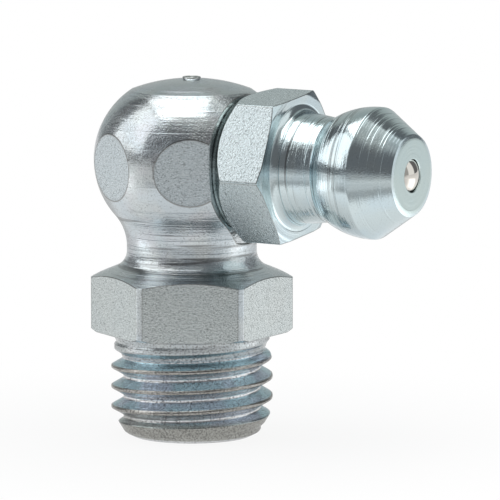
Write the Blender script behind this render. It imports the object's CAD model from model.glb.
import math

import bmesh
import bpy
import numpy as np
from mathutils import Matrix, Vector


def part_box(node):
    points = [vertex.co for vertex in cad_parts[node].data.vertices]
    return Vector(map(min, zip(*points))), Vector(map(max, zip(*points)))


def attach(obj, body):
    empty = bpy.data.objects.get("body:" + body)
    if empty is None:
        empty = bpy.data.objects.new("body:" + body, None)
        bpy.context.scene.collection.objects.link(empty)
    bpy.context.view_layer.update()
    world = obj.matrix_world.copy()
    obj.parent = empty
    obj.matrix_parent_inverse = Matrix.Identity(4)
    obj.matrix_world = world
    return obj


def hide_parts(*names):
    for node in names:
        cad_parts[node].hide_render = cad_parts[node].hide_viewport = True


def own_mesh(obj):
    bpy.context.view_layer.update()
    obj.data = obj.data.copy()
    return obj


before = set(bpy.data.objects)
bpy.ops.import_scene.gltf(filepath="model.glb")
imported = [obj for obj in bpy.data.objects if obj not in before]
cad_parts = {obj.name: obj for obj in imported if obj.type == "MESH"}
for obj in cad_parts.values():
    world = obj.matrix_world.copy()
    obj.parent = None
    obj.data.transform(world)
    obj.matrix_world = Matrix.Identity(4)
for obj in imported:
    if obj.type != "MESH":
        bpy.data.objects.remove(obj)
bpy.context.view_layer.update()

MM = 0.001     # a millimetre, in metres

# ---- Taken from the frame, in millimetres ----
body_box = [[c / MM for c in corner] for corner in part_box("elbow_body")]
nipple_box = [[c / MM for c in corner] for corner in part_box("nipple")]
ball_box = [[c / MM for c in corner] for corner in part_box("check_ball")]
spring_box = [[c / MM for c in corner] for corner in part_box("valve_spring")]
stud_end = body_box[0][2]
pip_top = body_box[1][2]
hexagon_apothem = body_box[1][0]
shank_end = nipple_box[0][0]
tip_end = nipple_box[1][0]
ball_centre_x = (ball_box[0][0] + ball_box[1][0]) / 2
axis_height = (ball_box[0][2] + ball_box[1][2]) / 2
check_ball_radius = (ball_box[1][0] - ball_box[0][0]) / 2

# ---- Elbow body, in millimetres, heights from the seat ----
corner_radius = 4.985
seat_radius = 4.75
seat_chamfer_slope = math.tan(math.radians(30))
chamfer_angle = 23
hexagon_height = 2.67
neck_radius = 3.205
neck_foot_radius = 0.9
neck_land = 0.207
sweep_radius = 2.4
ball_widest = 4.825
ball_arc_radius = 4.145
ball_apothem = 4.485
flat_lean = math.tan(math.radians(2.5))
crown_radius = 2.98
pip_radius = 0.45
pip_height = 0.1
pip_dimple = 0.06
faced_reach = 3.1
facing_radius = 3.95

# ---- Stud ----
pitch = 1.0
stud_radius = 4.0
thread_depth = 0.61
collar_radius = 3.84
seat_corner_radius = 0.2
bore_radius = 1.5
bore_chamfer = 0.2
lead_length = 1.25
lead_radius = 3.35
point_length = 0.19
point_radius = 2.98

# ---- Nipple, lengths along its axis from its seat ----
nipple_apothem = 3.445
nipple_corner_radius = 3.96
nipple_seat_radius = 3.3
nipple_seat_land = 0.22
nipple_back_slope = math.tan(math.radians(44))
nipple_back_end = nipple_seat_land + (nipple_corner_radius - nipple_seat_radius) * nipple_back_slope
nipple_hexagon_length = 3.02
nipple_front_radius = 3.6
nipple_front_slope = math.tan(math.radians(20))
nipple_clocking = 36.0
foot_fillet = 0.35
neck_back_radius = 2.765
neck_front_radius = 2.53
head_radius = 3.22
head_arc_radius = 4.0
head_widest = 7.3
head_shoulder = 7.5
tip_radius = 2.0
tip_bevel_length = 0.05
tip_bevel_width = 0.26
tip_hole_radius = 0.81
valve_bore_radius = 1.4
shank_radius = 3.0
shank_relief = 0.45
lip_radius = 0.85
lip_thickness = 0.45
shank_point_radius = 2.3

# ---- Valve ----
valve_gap = 0.03
wire_radius = 0.15
spring_coils = 11.0
ball_travel = 0.8

# ---- How finely surfaces are divided ----
columns = 360
crowding = 0.5
edge = 0.03            # between the rows on either side of an arris
beside_arris = 0.7     # how worn an arris is at those rows
weld = 2e-4            # rims closer than this are one


# ---------------------------------------------------------------- outlines

def arc(centre, radius, start, end, count):
    """Points on an arc, angles in degrees from outward, anticlockwise."""
    turn = np.radians(np.linspace(start, end, count))
    return [(centre[0] + radius * math.cos(a), centre[1] + radius * math.sin(a)) for a in turn]


def legs(*corners):
    """The straight stretches from corner to corner."""
    return [[start, end] for start, end in zip(corners, corners[1:])]


class Outline:
    """A turned outline: radius and height against the distance along it."""

    def __init__(self, *stretches):
        points, self.joints = [stretches[0][0]], [0.0]
        for stretch in stretches:
            points += stretch[1:] if tuple(stretch[0]) == tuple(points[-1]) else stretch
            self.joints.append(len(points) - 1)
        self.radius, self.height = np.array(points).T
        steps = np.hypot(np.diff(self.radius), np.diff(self.height))
        self.along = np.concatenate([[0], np.cumsum(steps)])
        self.joints = [self.along[int(j)] for j in self.joints]

    def at(self, along):
        """Radius and height at a distance along the outline."""
        return np.interp(along, self.along, self.radius), np.interp(along, self.along, self.height)


def spread(start, end, count, lip=0.0):
    """Rows from start to end for every column, evenly spaced but for one row `lip` inside each end."""
    start, end = start + np.zeros(columns), end + np.zeros(columns)
    lip = np.minimum(lip, (end - start) / 3)
    inner = [start + lip + (end - start - 2 * lip) * t for t in np.linspace(0, 1, count - 2)]
    return [start, *inner, end]


def column_angles():
    """Angles of the columns, crowded towards the corners of the hexagons."""
    even = np.arange(columns) * 2 * math.pi / columns
    return even + crowding / 6 * np.sin(6 * even)


def hexagon_limit(angles, half_width):
    """Distance to the flats of a hexagon bar along each column."""
    off_flat = (angles + math.pi / 6) % (math.pi / 3) - math.pi / 6
    return half_width / np.cos(off_flat)


# ---------------------------------------------------------------- meshes

def plain_rows(outline, start, end, count, lip=0.0):
    """Rows along a stretch that nothing cuts into.

    A row is a radius, a height, the share of the bar's own skin and the share of an arris."""
    return [(*outline.at(s), 0.0, 0.0) for s in spread(start, end, count, lip)]


def first_rise(excess, along):
    """Where along the outline each column's excess first turns positive."""
    after = np.where((excess > 0).any(0), (excess > 0).argmax(0), len(along) - 1)
    before = np.maximum(after - 1, 0)
    column = np.arange(columns)
    low, high = excess[before, column], excess[after, column]
    share = np.clip(-low / np.where(high > low, high - low, 1.0), 0, 1)
    return along[before] + share * (along[after] - along[before])


def bulge_rows(outline, start, end, flats, counts, least=0.0):
    """Rows over a turned bulge that flats cut into, with a row along each edge of a flat.

    flats gives, for heights, the distance to the flats and whether they are the bar's own skin. counts
    are the rows before the cut, over it and after it, and least is how long it is at least."""
    inside = (outline.along >= start - 1e-9) & (outline.along <= end + 1e-9)
    along, radius, height = outline.along[inside], outline.radius[inside], outline.height[inside]
    widest = np.flatnonzero(radius > radius.max() - 1e-6)
    first, last = widest[0], widest[-1]
    excess = radius[:, None] - flats(height[:, None] + np.zeros(columns))[0]
    low = first_rise(excess[: first + 1], along[: first + 1])
    high = first_rise(excess[last:][::-1], along[last:][::-1])
    middle = (along[first] + along[last]) / 2
    low = np.minimum(low, middle - least / 2)
    high = np.maximum(high, middle + least / 2)

    is_cut = np.where((excess > 0).any(0), 1.0, 0.0)

    def row(s, arris=0.0):
        r, z = outline.at(s)
        return np.minimum(r, flats(z)[0]), z, 0.0, arris * is_cut

    rows = [row(s) for s in spread(start, np.maximum(low - edge, start), counts[0], edge)[:-1]]
    rows += [row(np.maximum(low - edge, start), beside_arris), row(low, 1.0)]
    bottom, top = outline.at(low)[1] + edge, outline.at(high)[1] - edge
    for z in spread(bottom, top, counts[1], edge):
        turned = np.where(
            z <= height[last],
            np.interp(z, height[: last + 1], radius[: last + 1]),
            np.interp(z, height[last:], radius[last:]),
        )
        limit, skin = flats(z)
        arris = np.clip(1 - np.abs(turned - limit) / edge, 0, 1)
        drawn = np.where(turned > limit + 1e-6, skin, 0.0)
        rows.append((np.minimum(turned, limit), z, drawn, arris * is_cut))
    rows += [row(high, 1.0), row(np.minimum(high + edge, end), beside_arris)]
    rows += [row(s) for s in spread(np.minimum(high + edge, end), end, counts[2], edge)[1:]]
    return rows


def shell_mesh(name, rows, angles):
    """A skin over rows of radius and height, which carries their shares of drawn skin and of an arris."""
    turn_cos, turn_sin = np.cos(angles), np.sin(angles)
    flat = np.zeros(columns)
    points = np.array([np.stack([r * turn_cos, r * turn_sin, z + flat], 1) for r, z, *_ in rows])
    faces = []
    for i in range(len(rows) - 1):
        low, high = i * columns, (i + 1) * columns
        for j in range(columns):
            after = (j + 1) % columns
            faces.append((low + j, low + after, high + after, high + j))
    mesh = bpy.data.meshes.new(name)
    mesh.from_pydata(points.reshape(-1, 3).tolist(), [], faces)
    for i, label in ((2, "drawn"), (3, "arris")):
        share = mesh.attributes.new(label, "FLOAT", "POINT")
        share.data.foreach_set("value", np.concatenate([row[i] + flat for row in rows]))
    return mesh


def joined(name, meshes, place=lambda points: points):
    """One closed piece in metres from meshes in millimetres, whose matching rims are merged."""
    shape = bmesh.new()
    for mesh in meshes:
        shape.from_mesh(mesh)
    bmesh.ops.remove_doubles(shape, verts=shape.verts, dist=weld)
    bmesh.ops.dissolve_degenerate(shape, edges=shape.edges, dist=1e-5)
    bmesh.ops.recalc_face_normals(shape, faces=shape.faces)
    for face in shape.faces:
        face.smooth = True
    mesh = bpy.data.meshes.new(name)
    shape.to_mesh(mesh)
    shape.free()
    points = np.empty(len(mesh.vertices) * 3)
    mesh.vertices.foreach_get("co", points)
    mesh.vertices.foreach_set("co", (place(points.reshape(-1, 3)) * MM).ravel())
    mesh.update()
    piece = bpy.data.objects.new(name, mesh)
    bpy.context.scene.collection.objects.link(piece)
    return piece


# ---------------------------------------------------------------- node helpers

class Sum:
    """A number in a node tree, so that a rule in nodes reads as a formula."""

    def __init__(self, tree, socket):
        self.tree, self.socket = tree, socket

    def math(self, operation, *others):
        """What a Math node makes of this number and the others."""
        node = self.tree.nodes.new("ShaderNodeMath")
        node.operation = operation
        for socket, value in zip(node.inputs, (self, *others)):
            if isinstance(value, Sum):
                self.tree.links.new(value.socket, socket)
            else:
                socket.default_value = value
        return Sum(self.tree, node.outputs[0])

    def __add__(self, other):
        return self.math("ADD", other)

    def __sub__(self, other):
        return self.math("SUBTRACT", other)

    def __mul__(self, other):
        return self.math("MULTIPLY", other)

    def __truediv__(self, other):
        return self.math("DIVIDE", other)

    __radd__, __rmul__ = __add__, __mul__

    def __rsub__(self, other):
        return (self * -1.0) + other

    def at_least(self, other):
        return self.math("MAXIMUM", other)

    def at_most(self, other):
        return self.math("MINIMUM", other)

    def ramp(self, start, end):
        """0 before start, 1 after end, smooth between them."""
        node = self.tree.nodes.new("ShaderNodeMapRange")
        node.interpolation_type = "SMOOTHSTEP"
        for socket, value in zip(("Value", "From Min", "From Max"), (self, start, end)):
            if isinstance(value, Sum):
                self.tree.links.new(value.socket, node.inputs[socket])
            else:
                node.inputs[socket].default_value = value
        return Sum(self.tree, node.outputs["Result"])


def apart(tree, vector):
    """The three numbers of a vector."""
    node = tree.nodes.new("ShaderNodeSeparateXYZ")
    tree.links.new(vector, node.inputs[0])
    return [Sum(tree, out) for out in node.outputs]


def tinted(tree, share, first, second):
    """Between two colours, each a socket or three numbers."""
    node = tree.nodes.new("ShaderNodeMix")
    node.data_type = "RGBA"
    for value, label in ((share, "Factor"), (first, "A"), (second, "B")):
        socket = node.inputs[label]
        if isinstance(value, Sum):
            tree.links.new(value.socket, socket)
        elif isinstance(value, bpy.types.NodeSocket):
            tree.links.new(value, socket)
        elif isinstance(value, float):
            socket.default_value = value
        else:
            socket.default_value = (*value, 1)
    return node.outputs["Result"]


# ---------------------------------------------------------------- screw thread and coil spring

def sized_tree(name, lengths, counts=()):
    """A Geometry Nodes tree with these named inputs, with its input and output nodes."""
    tree = bpy.data.node_groups.new(name, "GeometryNodeTree")
    tree.is_modifier = True
    face = tree.interface
    for kind, sizes in (("NodeSocketFloat", lengths), ("NodeSocketInt", counts)):
        for label, size in sizes:
            face.new_socket(label, in_out="INPUT", socket_type=kind).default_value = size
    face.new_socket("Material", in_out="INPUT", socket_type="NodeSocketMaterial")
    face.new_socket("Geometry", in_out="OUTPUT", socket_type="NodeSocketGeometry")
    return tree, tree.nodes.new("NodeGroupInput"), tree.nodes.new("NodeGroupOutput")


def end_tree(tree, shape, given, out):
    """Ends a tree with real geometry in the given material."""
    real = tree.nodes.new("GeometryNodeRealizeInstances")
    tree.links.new(shape, real.inputs["Geometry"])
    coat = tree.nodes.new("GeometryNodeSetMaterial")
    tree.links.new(real.outputs[0], coat.inputs["Geometry"])
    tree.links.new(given.outputs["Material"], coat.inputs["Material"])
    tree.links.new(coat.outputs[0], out.inputs["Geometry"])


def thread_tree():
    """A right-hand screw thread on a stud along Z, between two flat rims, sizes in millimetres."""
    tree, given, out = sized_tree(
        "screw thread",
        lengths=(
            ("Top", -0.2), ("End", -5.0), ("Pitch", 1.0), ("Crest Radius", 4.0), ("Root Radius", 3.4),
            ("First Crest", 0.0), ("Collar Radius", 3.8), ("Full Crest Height", -1.5), ("Collar Slope", 0.3),
            ("Run-out Height", -1.4), ("Run-out Slope", 0.4), ("Lead Height", -4.0), ("Lead Slope", 0.7),
            ("Point Radius", 2.9), ("Point Slope", 1.9), ("Crowding", 0.0),
        ),
        counts=(("Columns", 360), ("Rows per Pitch", 16), ("Rows", 96)),
    )
    nodes, links = tree.nodes, tree.links
    flank_slope = math.tan(math.radians(30))
    root_rounding, edge_rounding, collar_fade = 0.09, 0.05, 0.08

    def size(name):
        return Sum(tree, given.outputs[name])

    grid = nodes.new("GeometryNodeMeshGrid")
    links.new((size("Columns") + 1).socket, grid.inputs["Vertices X"])
    links.new((size("Rows") + 1).socket, grid.inputs["Vertices Y"])
    place = nodes.new("GeometryNodeInputPosition")
    across, along, _ = apart(tree, place.outputs[0])
    turn = (across + 0.5) * (2 * math.pi)
    down = (0.5 - along) * size("Rows") / size("Rows per Pitch")

    angle = turn + (turn * 6).math("SINE") * size("Crowding") / 6
    crest = size("First Crest") + size("Pitch") * angle / (2 * math.pi)
    highest = crest + size("Pitch") * ((size("Top") - size("First Crest")) / size("Pitch")).math("CEIL")
    height = (highest - down * size("Pitch")).at_most(size("Top")).at_least(size("End"))

    half_pitch = size("Pitch") / 2
    off_crest = (height - crest).math("WRAP", half_pitch, half_pitch * -1).math("ABSOLUTE")
    flank = size("Crest Radius") + (size("Pitch") / 16 - off_crest) / flank_slope
    root = size("Root Radius") + (height - size("Run-out Height")).at_least(0) * size("Run-out Slope")
    groove = flank.math("SMOOTH_MAX", root, root_rounding)
    rise = (height - size("Full Crest Height")).at_least(0) * size("Collar Slope")
    blank = (size("Crest Radius") - rise).at_least(size("Collar Radius"))
    lead = size("Crest Radius") - (size("Lead Height") - height) * size("Lead Slope")
    point = size("Point Radius") + (height - size("End")) * size("Point Slope")
    cut = groove.math("SMOOTH_MIN", blank.at_most(lead), edge_rounding)
    cut = cut.math("SMOOTH_MIN", point, edge_rounding)
    fade = height.ramp(size("Top") - collar_fade, size("Top"))
    radius = cut + (size("Collar Radius") - cut) * fade

    spot = nodes.new("ShaderNodeCombineXYZ")
    links.new((radius * angle.math("COSINE")).socket, spot.inputs["X"])
    links.new((radius * angle.math("SINE")).socket, spot.inputs["Y"])
    links.new(height.socket, spot.inputs["Z"])
    bent = nodes.new("GeometryNodeSetPosition")
    links.new(grid.outputs["Mesh"], bent.inputs["Geometry"])
    links.new(spot.outputs[0], bent.inputs["Position"])
    sewn = nodes.new("GeometryNodeMergeByDistance")
    sewn.inputs["Distance"].default_value = weld
    links.new(bent.outputs[0], sewn.inputs["Geometry"])
    end_tree(tree, sewn.outputs[0], given, out)
    return tree


def coil_tree():
    """A coil spring that rises along Z from its start, sizes in millimetres."""
    tree, given, out = sized_tree(
        "coil spring",
        lengths=(("Start", 0.0), ("Length", 10.0), ("Radius", 1.0), ("Wire Radius", 0.15), ("Coils", 11.0)),
    )
    nodes, links = tree.nodes, tree.links
    spiral = nodes.new("GeometryNodeCurveSpiral")
    spiral.inputs["Resolution"].default_value = 32
    for label, socket in (
        ("Coils", "Rotations"), ("Radius", "Start Radius"), ("Radius", "End Radius"), ("Length", "Height"),
    ):
        links.new(given.outputs[label], spiral.inputs[socket])
    wire = nodes.new("GeometryNodeCurvePrimitiveCircle")
    wire.inputs["Resolution"].default_value = 12
    links.new(given.outputs["Wire Radius"], wire.inputs["Radius"])
    swept = nodes.new("GeometryNodeCurveToMesh")
    swept.inputs["Fill Caps"].default_value = True
    links.new(spiral.outputs[0], swept.inputs["Curve"])
    links.new(wire.outputs[0], swept.inputs["Profile Curve"])
    start = nodes.new("ShaderNodeCombineXYZ")
    links.new(given.outputs["Start"], start.inputs["Z"])
    raised = nodes.new("GeometryNodeTransform")
    links.new(swept.outputs[0], raised.inputs["Geometry"])
    links.new(start.outputs[0], raised.inputs["Translation"])
    end_tree(tree, raised.outputs[0], given, out)
    return tree


def grown_mesh(name, tree, sizes):
    """The plain mesh that a Geometry Nodes tree makes with these inputs."""
    seed = bpy.data.objects.new(name, bpy.data.meshes.new(name))
    bpy.context.scene.collection.objects.link(seed)
    grower = seed.modifiers.new(name, "NODES")
    grower.node_group = tree
    sockets = {item.name: item.identifier for item in tree.interface.items_tree if item.in_out == "INPUT"}
    for label, value in sizes.items():
        grower[sockets[label]] = value
    ready = seed.evaluated_get(bpy.context.evaluated_depsgraph_get())
    mesh = bpy.data.meshes.new_from_object(ready)
    bpy.data.objects.remove(seed)
    return mesh


# ---------------------------------------------------------------- finishes

class Finish:
    """A material with one Principled shader, whose patterns read the piece's coordinates in millimetres."""

    def __init__(self, name, **sockets):
        self.material = bpy.data.materials.new(name)
        self.material.use_nodes = True
        self.tree = self.material.node_tree
        self.shader = self.tree.nodes["Principled BSDF"]
        for socket, value in sockets.items():
            self.shader.inputs[socket.replace("_", " ")].default_value = value
        spot = self.tree.nodes.new("ShaderNodeTexCoord")
        scale = self.tree.nodes.new("ShaderNodeMapping")
        scale.inputs["Scale"].default_value = (1 / MM,) * 3
        self.link(spot.outputs["Object"], scale.inputs["Vector"])
        self.place = scale.outputs[0]

    def link(self, start, end):
        self.tree.links.new(start.socket if isinstance(start, Sum) else start, end)

    def apart(self, vector):
        """The three numbers of a vector."""
        return apart(self.tree, vector)

    def together(self, *numbers):
        """A vector of three numbers."""
        node = self.tree.nodes.new("ShaderNodeCombineXYZ")
        for number, socket in zip(numbers, node.inputs):
            if isinstance(number, Sum):
                self.link(number, socket)
            else:
                socket.default_value = number
        return node.outputs[0]

    def noise(self, vector, scale, detail=2.0, roughness=0.5, fourth=None):
        """Noise about 0.5, in four ways where a fourth number is given."""
        node = self.tree.nodes.new("ShaderNodeTexNoise")
        if fourth is not None:
            node.noise_dimensions = "4D"
            self.link(fourth, node.inputs["W"])
        node.inputs["Scale"].default_value = scale
        node.inputs["Detail"].default_value = detail
        node.inputs["Roughness"].default_value = roughness
        self.link(vector, node.inputs["Vector"])
        return Sum(self.tree, node.outputs["Fac"])

    def attribute(self, name):
        """A share that the piece's points carry."""
        node = self.tree.nodes.new("ShaderNodeAttribute")
        node.attribute_name = name
        return Sum(self.tree, node.outputs["Fac"])

    def mix(self, share, first, second):
        """Between two colours, each a socket or three numbers."""
        return tinted(self.tree, share, first, second)

    def bump(self, height, depth):
        """Raises the surface by height times depth, in millimetres."""
        node = self.tree.nodes.new("ShaderNodeBump")
        node.inputs["Distance"].default_value = depth * MM
        self.link(height, node.inputs["Height"])
        self.link(node.outputs[0], self.shader.inputs["Normal"])


# Colours that the plate takes where it is worn, dirty or thin.
rosy_plate = (0.71, 0.68, 0.72)
dark_speck = (0.30, 0.31, 0.31)
dark_mark = (0.22, 0.23, 0.23)
dark_pit = (0.30, 0.33, 0.33)
bright_pit = (0.80, 0.84, 0.86)
bared_arris = (0.22, 0.21, 0.19)
drawn_roughness = 0.25     # of the bar's own skin
speck_height = 0.0030      # of the specks on that skin, in millimetres
pit_height = 0.012         # of its pits


def zinc(name, turning, plate, worn, *, pace, ring_depth, score_depth, grain_depth, bright, blush, rougher):
    """Bright zinc plate over turned steel.

    turning splits a place into two ways across the axis, one along it and a radius. plate gives the plate's
    two colours, which drift into each other, and then the two of its drawn faces. worn tones it by place.
    pace is how close the turning marks lie, as marks to the millimetre, and the depths are in millimetres.
    bright is the roughness of the turned metal, blush the share of rosy plate, and rougher the stretch along
    the axis with deeper turning marks."""
    finish = Finish(name, Metallic=1.0)
    side, up, along, radius = turning(*finish.apart(finish.place))

    def rings(around, across, detail):
        """Turning marks: long around the axis, fine across it."""
        stretched = finish.together(side * around, up * around, along * across)
        return finish.noise(stretched, 1.0, detail, 0.6, fourth=radius * across)

    drawn = finish.attribute("drawn")
    fine = rings(0.3, 13.0, 1.0)
    broad = rings(0.2, pace, 1.0)
    scored = rings(0.12, 7.0, 0.0)
    scored = scored.ramp(0.66, 0.74) - scored.ramp(0.34, 0.26)
    grain = finish.noise(finish.place, 11.0, 2.0, 0.7)
    specks = grain.ramp(0.53, 0.62) - grain.ramp(0.47, 0.38)
    patches = finish.noise(finish.place, 0.7, 2.0, 0.5).ramp(0.30, 0.65)
    pits = finish.noise(finish.place, 12.0, 2.0, 0.7)
    first, last = rougher
    deeper = 1.0 + along.ramp(first - 0.3, first + 0.3) * along.ramp(last + 0.4, last - 0.4)
    marks = ((fine * 0.6 + broad) * ring_depth + scored * score_depth) * deeper
    turned_height = marks + specks * (0.4 + patches) * grain_depth
    drawn_height = specks * speck_height + pits * pit_height
    finish.bump(turned_height + (drawn_height - turned_height) * drawn, 1.0)

    cool = finish.noise(finish.place, 0.5, 2.0, 0.5).ramp(0.38, 0.62)
    rosy = finish.noise(finish.place, 0.8, 1.0, 0.5).ramp(0.5, 0.75)
    tint = finish.mix(cool, plate[0], plate[1])
    tint = finish.mix(rosy * blush, tint, rosy_plate)
    tint = finish.mix(grain.ramp(0.42, 0.32) * (200 * grain_depth), tint, dark_speck)
    tint = finish.mix(broad.ramp(0.46, 0.36) * (deeper - 1.0) * 0.7, tint, dark_mark)
    skin = finish.mix(along.ramp(3.0, 6.0), plate[2], plate[3])
    tint = finish.mix(drawn * 0.8, tint, skin)
    tint = finish.mix(drawn * pits.ramp(0.54, 0.64) * 0.65, tint, dark_pit)
    tint = finish.mix(drawn * pits.ramp(0.46, 0.36) * 0.4, tint, bright_pit)
    tint = finish.mix(finish.attribute("arris") * 0.75, tint, bared_arris)
    roughness = bright + fine * 0.04 + drawn * (drawn_roughness - bright)
    tint, roughness = worn(finish, tint, roughness, along, radius, grain)
    finish.link(tint, finish.shader.inputs["Base Color"])
    finish.link(roughness, finish.shader.inputs["Roughness"])
    return finish.material


def about_stud(x, y, z):
    """A place in the stud's terms: two ways across its axis, one along it and the radius."""
    return x, y, z, (x * x + y * y).math("SQRT")


def about_nipple(x, y, z):
    """The same in the nipple's terms."""
    up = z - axis_height
    return y, up, x, (y * y + up * up).math("SQRT")


def worn_elbow(finish, tint, roughness, along, radius, grain):
    """A thread with blue upper flanks, brown crests, bright roots and an olive lead; dull collar and pip."""
    threaded = along.ramp(-0.85, -1.05)
    collar = along.ramp(-0.03, -0.10)
    pip = along.ramp(pip_top - pip_height + 0.01, pip_top - pip_height + 0.03)
    lead_top = stud_end + lead_length
    lead = along.ramp(lead_top - 0.1, lead_top - 0.35) * radius.ramp(3.2, 3.3)
    crest = radius.ramp(stud_radius - 0.12, stud_radius - 0.03)
    root = radius.ramp(stud_radius - thread_depth + 0.04, stud_radius - thread_depth)
    spot = finish.tree.nodes.new("ShaderNodeTexCoord")
    upward_face = finish.apart(spot.outputs["Normal"])[2].ramp(-0.15, 0.35)
    bloom = finish.noise(finish.place, 0.45, 1.0, 0.5).ramp(0.42, 0.60)

    upper_flank = finish.mix(bloom, (0.55, 0.80, 0.90), (0.62, 0.74, 0.88))
    thread_tint = finish.mix(upward_face, (0.65, 0.66, 0.68), upper_flank)
    thread_tint = finish.mix(crest, thread_tint, (0.50, 0.49, 0.46))
    thread_tint = finish.mix(root, thread_tint, (0.96, 0.98, 1.0))
    thread_tint = finish.mix(lead * 0.8, thread_tint, (0.42, 0.42, 0.37))
    thread_tint = finish.mix(grain.ramp(0.49, 0.40) * 0.65, thread_tint, (0.18, 0.18, 0.18))
    thread_tint = finish.mix(grain.ramp(0.54, 0.63) * 0.25, thread_tint, (0.85, 0.88, 0.90))
    tint = finish.mix(pip * 0.6, tint, (0.42, 0.42, 0.38))
    tint = finish.mix(collar * 0.5, tint, (0.50, 0.53, 0.53))
    tint = finish.mix(collar * grain.ramp(0.49, 0.40) * 0.55, tint, (0.20, 0.20, 0.20))
    return finish.mix(threaded, tint, thread_tint), roughness + threaded * 0.06


def worn_nipple(finish, tint, roughness, along, radius, grain):
    """The nipple's back chamfer, dark with turning rings, and its greener tip face."""
    turned = 1.0 - finish.attribute("drawn")
    chamfer_end = faced_reach + nipple_back_end
    behind_hexagon = along.ramp(chamfer_end + 0.02, chamfer_end - 0.01)
    rings = finish.noise(finish.together(along * 9.0, radius * 9.0, 0.0), 1.0, 1.0, 0.6)
    oiled = finish.mix(rings.ramp(0.45, 0.58), (0.10, 0.12, 0.11), (0.42, 0.48, 0.46))
    tint = finish.mix(behind_hexagon * turned * 0.8, tint, oiled)
    tip = along.ramp(tip_end - 0.03, tip_end - 0.01)
    return finish.mix(tip * 0.5, tint, (0.55, 0.68, 0.64)), roughness + tip * 0.05


elbow_plate = ((0.67, 0.74, 0.78), (0.71, 0.76, 0.77), (0.71, 0.77, 0.76), (0.74, 0.83, 0.87))
nipple_plate = ((0.70, 0.83, 0.88), (0.74, 0.85, 0.87), (0.78, 0.87, 0.89), (0.78, 0.87, 0.89))
elbow_zinc = zinc(
    "zinc plate, elbow", about_stud, elbow_plate, worn_elbow,
    pace=4.0, ring_depth=0.007, score_depth=0.006, grain_depth=0.0028,
    bright=0.10, blush=0.3, rougher=(3.0, 6.0),
)
nipple_zinc = zinc(
    "zinc plate, nipple", about_nipple, nipple_plate, worn_nipple,
    pace=7.0, ring_depth=0.008, score_depth=0.007, grain_depth=0.0008,
    bright=0.07, blush=0.0, rougher=(6.4, 9.8),
)


def plain_steel(name, roughness, speckle, darker, lighter):
    """Bare steel whose colour drifts between two close tones."""
    finish = Finish(name, Metallic=1.0, Roughness=roughness)
    tone = finish.mix(finish.noise(finish.place, speckle), darker, lighter)
    finish.link(tone, finish.shader.inputs["Base Color"])
    return finish.material


polished_steel = plain_steel("polished ball", 0.04, 6.0, (0.80, 0.76, 0.70), (0.84, 0.81, 0.76))
spring_wire = plain_steel("spring wire", 0.3, 9.0, (0.48, 0.48, 0.49), (0.6, 0.6, 0.6))


# ---------------------------------------------------------------- elbow body

angles = column_angles()
chamfer_slope = math.tan(math.radians(chamfer_angle))
neck_foot = hexagon_height + (corner_radius - neck_radius) * chamfer_slope
foot_reach = neck_foot_radius * math.tan(math.radians(90 - chamfer_angle) / 2)
sweep_start = neck_foot + foot_reach + neck_land
ball_offset = ball_widest - ball_arc_radius
sweep_centre = neck_radius + sweep_radius
ball_drop = math.sqrt((ball_arc_radius + sweep_radius) ** 2 - (sweep_centre - ball_offset) ** 2)
ball_height = sweep_start + ball_drop
sweep_turn = math.degrees(math.asin(ball_drop / (ball_arc_radius + sweep_radius)))
crown_turn = math.degrees(math.acos((crown_radius - ball_offset) / ball_arc_radius))
crown_foot = ball_height + ball_arc_radius * math.sin(math.radians(crown_turn))
crown_rise = pip_top - pip_height - crown_foot
crown_arc_radius = (crown_radius**2 + crown_rise**2) / (2 * crown_rise)
crown_centre = (0, pip_top - pip_height - crown_arc_radius)
pip_foot_turn = math.degrees(math.acos(pip_radius / crown_arc_radius))
crown_foot_turn = math.degrees(math.acos(crown_radius / crown_arc_radius))

foot_arc = arc(
    (neck_radius + neck_foot_radius, neck_foot + foot_reach), neck_foot_radius, 270 - chamfer_angle, 180, 14
)
seat_chamfer_end = (corner_radius, (corner_radius - seat_radius) * seat_chamfer_slope)
hexagon_outline = Outline(*legs(
    (collar_radius + seat_corner_radius, 0),
    (seat_radius, 0),
    seat_chamfer_end,
    (corner_radius, hexagon_height),
    foot_arc[0],
))
ball_outline = Outline(
    foot_arc,
    [foot_arc[-1], (neck_radius, sweep_start)],
    arc((sweep_centre, sweep_start), sweep_radius, 180, 180 - sweep_turn, 60),
    arc((ball_offset, ball_height), ball_arc_radius, -sweep_turn, crown_turn, 160),
    arc(crown_centre, crown_arc_radius, crown_foot_turn, pip_foot_turn, 60),
)
foot_end, land_end, _, ball_end, crown_end = ball_outline.joints[1:]
collar_corner = Outline(
    arc((collar_radius + seat_corner_radius, -seat_corner_radius), seat_corner_radius, 180, 90, 9)
)
pip_edge = 0.03
pip_rim = 0.1
pip_fall = 0.06
pip_floor_radius = 0.12
pip_outline = Outline(
    arc((pip_radius - pip_edge, pip_top - pip_edge), pip_edge, 0, 90, 4)
    + [
        (pip_radius - pip_rim, pip_top),
        (pip_radius - pip_rim - pip_fall, pip_top - pip_dimple * 0.7),
        (pip_floor_radius, pip_top - pip_dimple),
    ]
)
stud_bore = Outline(*legs(
    (bore_radius, axis_height),
    (bore_radius, stud_end + bore_chamfer),
    (bore_radius + bore_chamfer, stud_end),
    (point_radius, stud_end),
))


def centre_point(height):
    """A row shrunk to a point on the axis, which closes a shell."""
    return np.zeros(columns), np.full(columns, height), 0.0, 0.0


out_of_reach = 99.0    # a distance past every surface


def hexagon_flats(height):
    """The upright flats of the body's hexagon."""
    return hexagon_limit(angles, hexagon_apothem) + 0 * height, 1.0


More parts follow.
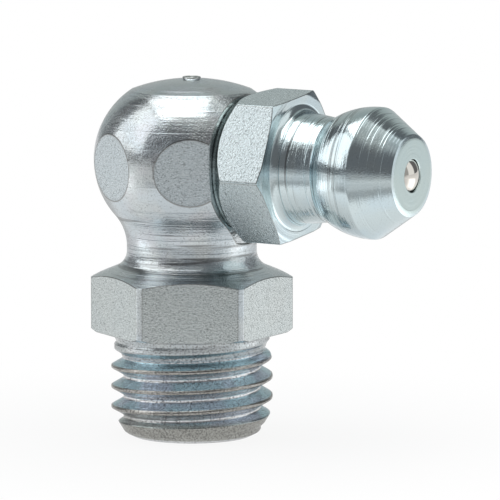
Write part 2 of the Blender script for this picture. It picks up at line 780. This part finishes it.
def ball_flats(height):
    """The leaning flats that are left on the ball, and its side that is faced for the nipple."""
    skin = hexagon_limit(angles, ball_apothem + flat_lean * (height - ball_height))
    faced = faced_reach / np.maximum(np.cos(angles), 0.05)
    out_of_tool = np.hypot(faced_reach * np.tan(angles), height - axis_height) > facing_radius
    faced = np.where((np.cos(angles) < 0.1) | out_of_tool, out_of_reach, faced)
    return np.minimum(skin, faced), np.where(faced < skin, 0.0, 1.0)


upper_rows = plain_rows(collar_corner, 0, collar_corner.along[-1], 6)
upper_rows += bulge_rows(hexagon_outline, 0, hexagon_outline.along[-1], hexagon_flats, counts=(8, 14, 10))
upper_rows += plain_rows(ball_outline, 0, foot_end, 9)[1:]
upper_rows += plain_rows(ball_outline, foot_end, land_end, 3)[1:]
upper_rows += bulge_rows(ball_outline, land_end, ball_end, ball_flats, counts=(42, 28, 40), least=0.8)
upper_rows += plain_rows(ball_outline, ball_end, crown_end, 22, edge)[1:]
upper_rows += plain_rows(pip_outline, 0, pip_outline.along[-1], 12)
upper_rows.append(centre_point(pip_top - pip_dimple))
lower_rows = [centre_point(axis_height + bore_radius * 0.6)]
lower_rows += plain_rows(stud_bore, 0, stud_bore.joints[1], 6, edge)
lower_rows += plain_rows(stud_bore, stud_bore.joints[1], stud_bore.joints[2], 3)[1:]
lower_rows += plain_rows(stud_bore, stud_bore.joints[2], stud_bore.joints[3], 5, edge)[1:]

thread = thread_tree()
rows_per_pitch = 16
crest_height, crest_turn = -1.75, 210.6    # a crest passes this height at this angle round the stud
stud_thread = grown_mesh("stud thread", thread, {
    "Top": -seat_corner_radius,
    "End": stud_end,
    "Pitch": pitch,
    "Crest Radius": stud_radius,
    "Root Radius": stud_radius - thread_depth,
    "First Crest": crest_height - crest_turn / 360 * pitch,
    "Collar Radius": collar_radius,
    "Full Crest Height": -1.5,
    "Collar Slope": 0.27,
    "Run-out Height": -1.43,
    "Run-out Slope": 0.38,
    "Lead Height": stud_end + lead_length,
    "Lead Slope": (stud_radius - lead_radius) / (lead_length - point_length),
    "Point Radius": point_radius,
    "Point Slope": (lead_radius - point_radius) / point_length,
    "Crowding": crowding,
    "Columns": columns,
    "Rows per Pitch": rows_per_pitch,
    "Rows": int((abs(stud_end) / pitch + 2) * rows_per_pitch),
})
elbow = joined("elbow", [
    shell_mesh("upper", upper_rows, angles),
    stud_thread,
    shell_mesh("bore", lower_rows, angles),
])
elbow.data.materials.clear()
elbow.data.materials.append(elbow_zinc)
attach(elbow, "fitting")
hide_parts("elbow_body")


# ---------------------------------------------------------------- nipple

seat_x = faced_reach
tip_reach = tip_end - seat_x
shank_length = seat_x - shank_end
ball_reach = ball_centre_x - seat_x


def head_at(place):
    """Radius of the head's barrel at a place along the nipple."""
    return head_radius - head_arc_radius + math.sqrt(head_arc_radius**2 - (place - head_widest) ** 2)


neck_drop = head_radius - neck_front_radius
neck_front = head_widest - math.sqrt(head_arc_radius**2 - (head_arc_radius - neck_drop) ** 2)
front_drop = (nipple_corner_radius - nipple_front_radius) * nipple_front_slope
hexagon_part = Outline(*legs(
    (shank_radius - thread_depth, 0),
    (nipple_seat_radius, 0),
    (nipple_seat_radius, nipple_seat_land),
    (nipple_corner_radius, nipple_back_end),
    (nipple_corner_radius, nipple_hexagon_length - front_drop),
    (nipple_front_radius, nipple_hexagon_length),
    (neck_back_radius + foot_fillet, nipple_hexagon_length),
))
head_arc = [(head_at(p), p) for p in np.linspace(neck_front, head_shoulder, 90)]
fillet_centre = (neck_back_radius + foot_fillet, nipple_hexagon_length + foot_fillet)
foot_curve = arc(fillet_centre, foot_fillet, 270, 180, 14)
front_part = Outline(
    foot_curve,
    [foot_curve[-1], (neck_front_radius, neck_front)],
    head_arc,
    *legs(
        head_arc[-1],
        (tip_radius, tip_reach - tip_bevel_length),
        (tip_radius - tip_bevel_width, tip_reach),
        (tip_hole_radius, tip_reach),
    ),
)
seat_gap = check_ball_radius + valve_gap
seat_turn = math.radians(45)
cone_point = ball_reach + seat_gap * math.sin(seat_turn) + seat_gap * math.cos(seat_turn)
passage = Outline(*legs(
    (tip_hole_radius, tip_reach),
    (tip_hole_radius, cone_point - tip_hole_radius),
    (valve_bore_radius, cone_point - valve_bore_radius),
    (valve_bore_radius, lip_thickness - shank_length),
    (lip_radius, lip_thickness - shank_length),
    (lip_radius, -shank_length),
    (shank_point_radius, -shank_length),
))


def nipple_flats(height):
    """The flats of the nipple's hexagon, turned by its clocking."""
    return hexagon_limit(angles - math.radians(nipple_clocking - 30), nipple_apothem) + 0 * height, 1.0


def rows_by_joint(outline, counts, lip):
    """Rows along an outline, this many on each of its stretches."""
    stretches = zip(outline.joints, outline.joints[1:], counts)
    return [plain_rows(outline, start, end, count, lip) for start, end, count in stretches]


front_rows = bulge_rows(hexagon_part, 0, hexagon_part.along[-1], nipple_flats, counts=(14, 16, 12))
for stretch in rows_by_joint(front_part, (10, 26, 46, 34, 3, 16), edge):
    front_rows += stretch[1:]
passage_rows = sum(rows_by_joint(passage, (6, 5, 8, 4, 4, 5), edge / 2), [])

shank_thread = grown_mesh("shank thread", thread, {
    "Top": 0.0,
    "End": -shank_length,
    "Pitch": pitch,
    "Crest Radius": shank_radius,
    "Root Radius": shank_radius - thread_depth,
    "First Crest": 0.3,
    "Collar Radius": shank_radius - thread_depth,
    "Full Crest Height": -shank_relief - thread_depth,
    "Collar Slope": 1.0,
    "Run-out Height": 0.0,
    "Run-out Slope": 0.0,
    "Lead Height": -shank_length + 0.5,
    "Lead Slope": 0.6,
    "Point Radius": shank_point_radius,
    "Point Slope": 1.0,
    "Crowding": crowding,
    "Columns": columns,
    "Rows per Pitch": rows_per_pitch // 2,
    "Rows": int((shank_length / pitch + 2) * (rows_per_pitch // 2)),
})


def onto_nipple_axis(points):
    """From the nipple's own frame, its seat at the origin and its tip up, to its place on the elbow."""
    return np.stack([seat_x + points[:, 2], -points[:, 1], axis_height + points[:, 0]], 1)


nipple = joined(
    "nipple_turned",
    [shell_mesh("front", front_rows, angles), shell_mesh("passage", passage_rows, angles), shank_thread],
    onto_nipple_axis,
)
nipple.data.materials.clear()
nipple.data.materials.append(nipple_zinc)
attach(nipple, "fitting")
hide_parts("nipple")


# ---------------------------------------------------------------- check ball and spring

def ball_rows(radius, count):
    """Rows of a ball about the nipple's axis, from its back pole to its front one."""
    rows = []
    for turn in np.linspace(-math.pi / 2, math.pi / 2, count):
        height = ball_reach + radius * math.sin(turn)
        rows.append((np.full(columns, radius * math.cos(turn)), np.full(columns, height), 0.0, 0.0))
    return rows


ball_mesh = shell_mesh("ball", ball_rows(check_ball_radius, 60), angles)
check_ball = joined("check_ball_polished", [ball_mesh], onto_nipple_axis)
check_ball.data.materials.append(polished_steel)
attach(check_ball, "valve")
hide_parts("check_ball")

spring_length = spring_box[1][0] - spring_box[0][0]
coil = grown_mesh("valve spring", coil_tree(), {
    "Start": spring_box[0][0] + wire_radius - seat_x,
    "Length": spring_length - 2 * wire_radius,
    "Radius": (spring_box[1][1] - spring_box[0][1]) / 2 - wire_radius,
    "Wire Radius": wire_radius,
    "Coils": spring_coils,
})
valve_spring = joined("valve_spring_wound", [coil], onto_nipple_axis)
valve_spring.data.materials.clear()
valve_spring.data.materials.append(spring_wire)
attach(valve_spring, "fitting")
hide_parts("valve_spring")
spring_seat = (spring_box[0][0] * MM, 0.0, axis_height * MM)
1 - ball_travel / spring_length
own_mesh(valve_spring)


# ---------------------------------------------------------------- studio

camera_azimuth = math.radians(30.63)
camera_rise = math.radians(7.89)
camera_distance = 0.300
lens = 437.6
aim_right, aim_up = 0.002871, 0.00401
right = np.array([math.cos(camera_azimuth), math.sin(camera_azimuth), 0.0])
toward = np.array([math.sin(camera_azimuth), -math.cos(camera_azimuth), 0.0])
upward = np.array([0.0, 0.0, 1.0])
back = toward * math.cos(camera_rise) + upward * math.sin(camera_rise)
target = right * aim_right + upward * aim_up

camera_data = bpy.data.cameras.new("camera")
camera_data.lens = lens
camera_data.sensor_width = 36.0
camera_data.clip_start = 0.01
camera_data.clip_end = 10.0
camera = bpy.data.objects.new("camera", camera_data)
bpy.context.scene.collection.objects.link(camera)
camera.location = Vector(target + back * camera_distance)
camera.rotation_euler = Vector(-back).to_track_quat("-Z", "Y").to_euler()
bpy.context.scene.camera = camera


def softbox(name, centre, size, level, turn):
    """A white area lamp, turned as given, whose face is as bright as its level says."""
    lamp = bpy.data.lights.new(name, "AREA")
    lamp.shape = "RECTANGLE"
    lamp.size, lamp.size_y = size
    lamp.energy = math.pi * size[0] * size[1] * level
    box = bpy.data.objects.new(name, lamp)
    bpy.context.scene.collection.objects.link(box)
    box.location = Vector(centre)
    box.rotation_euler = turn


lamp_height = 0.4
softbox(
    "softbox overhead",
    centre=lamp_height * (upward - 0.18 * right - 0.07 * toward),
    size=(0.84 * lamp_height, 0.90 * lamp_height),
    level=1.65,
    turn=(0.0, 0.0, camera_azimuth),
)
side_turn = math.radians(88)
side_distance, side_height = 0.36, 0.31
side_way = toward * math.cos(side_turn) - right * math.sin(side_turn)
softbox(
    "softbox side",
    centre=side_distance * side_way + side_height * upward,
    size=(0.36, 0.46),
    level=1.2,
    turn=Vector(-side_way).to_track_quat("-Z", "Y").to_euler(),
)

# Walls, as the metal mirrors them: plain greys that differ a little, so that bright metal keeps its form.
wall_gap = (0.13, 0.135, 0.14)
back_wall_low, back_wall_high = (0.45, 0.48, 0.475), (0.33, 0.36, 0.35)
right_wall = (0.36, 0.37, 0.37)
right_panel = (0.84, 0.86, 0.86)
front_foot, front_wall, front_top = (0.36, 0.37, 0.38), (0.14, 0.14, 0.145), (0.44, 0.45, 0.44)
ceiling_colour = (0.45, 0.47, 0.46)
white = (1.0, 1.0, 1.0)

# Floor levels, as the metal mirrors them: at the part's foot, past it, far off, and far off in front.
foot_level, near_level, far_level, front_level = 0.60, 0.85, 0.70, 0.34


def level_way(way, east, north):
    """How far a place or direction lies along a level way."""
    return east * float(way[0]) + north * float(way[1])


def studio_walls(sky):
    """White to the camera. The metal mirrors walls by direction, each given by the cosine from its middle."""
    spot = sky.nodes.new("ShaderNodeTexCoord")
    east, north, rise = apart(sky, spot.outputs["Generated"])
    level = (1.0 - rise * rise).at_least(1e-4).math("SQRT")
    frontward = level_way(toward, east, north) / level
    rightward = level_way(right, east, north) / level

    at_right = rightward.ramp(0.1, 0.4)
    back_wall = tinted(sky, rise.ramp(0.1, 0.8), back_wall_low, back_wall_high)
    walls = tinted(sky, frontward.ramp(-0.76, -0.90), wall_gap, back_wall)
    walls = tinted(sky, at_right * frontward.ramp(0.15, 0.30), walls, right_wall)
    panel = at_right * frontward.ramp(-0.38, -0.26) * frontward.ramp(0.36, 0.26) * rise.ramp(0.93, 0.90)
    walls = tinted(sky, panel, walls, right_panel)
    front = tinted(sky, rise.ramp(0.0, 0.11), front_foot, front_wall)
    front = tinted(sky, rise.ramp(0.68, 0.90), front, front_top)
    in_front = frontward.ramp(0.42, 0.50) * (1.0 - at_right) + frontward.ramp(0.60, 0.76) * at_right
    walls = tinted(sky, in_front, walls, front)
    ceiling = rise.ramp(0.88, 0.93) * (1.0 - in_front)
    walls = tinted(sky, ceiling, walls, ceiling_colour)
    seen = Sum(sky, sky.nodes.new("ShaderNodeLightPath").outputs["Is Camera Ray"])
    backdrop = sky.nodes["Background"]
    sky.links.new(tinted(sky, seen, walls, white), backdrop.inputs["Color"])
    backdrop.inputs["Strength"].default_value = 1.0


def floor_level(tree):
    """How bright the metal mirrors the floor, and the distance from the part's axis in millimetres.

    The level goes by that distance and by the cosine of the angle from a way."""
    spot = tree.nodes.new("ShaderNodeTexCoord")
    east, north, _ = [place / MM for place in apart(tree, spot.outputs["Object"])]
    reach = (east * east + north * north).math("SQRT")
    ahead = level_way(toward, east, north) / reach.at_least(0.1)
    leftward = level_way(-right, east, north) / reach.at_least(0.1)
    near_ring = reach.ramp(22.0, 30.0) * reach.ramp(80.0, 60.0)
    before_part = ahead.ramp(0.3, 0.8) * (0.27 + reach.ramp(44.0, 36.0) * 0.20)
    behind_part = ahead.ramp(-0.62, -0.85) * 0.30
    beside_part = ahead.math("ABSOLUTE").ramp(0.45, 0.15) * 0.75
    left_part = leftward.ramp(0.6, 0.85) * 0.14
    around_part = near_ring * (beside_part - before_part - behind_part - left_part)
    near = foot_level + reach.ramp(2.0, 22.0) * (near_level - foot_level) + around_part
    far = far_level + ahead.ramp(0.35, 0.75) * (front_level - far_level)
    fading = reach.at_least(1.0).math("LOGARITHM", math.e).ramp(math.log(40), math.log(300))
    return near + (far - near) * fading, reach


def white_paper():
    """White paper that keeps the part's shadow, and that polished metal mirrors by its level."""
    paper = bpy.data.materials.new("white paper")
    paper.use_nodes = True
    tree = paper.node_tree
    matte = tree.nodes["Principled BSDF"]
    matte.inputs["Base Color"].default_value = (0.85, 0.86, 0.87, 1)
    matte.inputs["Roughness"].default_value = 0.9
    glow = tree.nodes.new("ShaderNodeEmission")
    lit, reach = floor_level(tree)
    path = tree.nodes.new("ShaderNodeLightPath")
    seen, glossy, through = [
        Sum(tree, path.outputs[f"Is {kind} Ray"]) for kind in ("Camera", "Glossy", "Transmission")
    ]
    tree.links.new((seen + (1.0 - seen) * lit).socket, glow.inputs["Strength"])
    whitened = seen * (0.90 + 0.10 * reach.ramp(5.0, 24.0))
    blend = tree.nodes.new("ShaderNodeMixShader")
    tree.links.new(whitened.at_least(glossy.at_least(through)).socket, blend.inputs[0])
    tree.links.new(matte.outputs[0], blend.inputs[1])
    tree.links.new(glow.outputs[0], blend.inputs[2])
    tree.links.new(blend.outputs[0], tree.nodes["Material Output"].inputs["Surface"])
    return paper


world = bpy.data.worlds.new("studio")
bpy.context.scene.world = world
world.use_nodes = True
studio_walls(world.node_tree)

bpy.ops.mesh.primitive_grid_add(size=4.0, x_subdivisions=2, y_subdivisions=2, location=(0, 0, stud_end * MM))
floor = bpy.context.object
floor.name = "floor"
floor.data.materials.append(white_paper())

bpy.context.scene.view_settings.view_transform = "Standard"
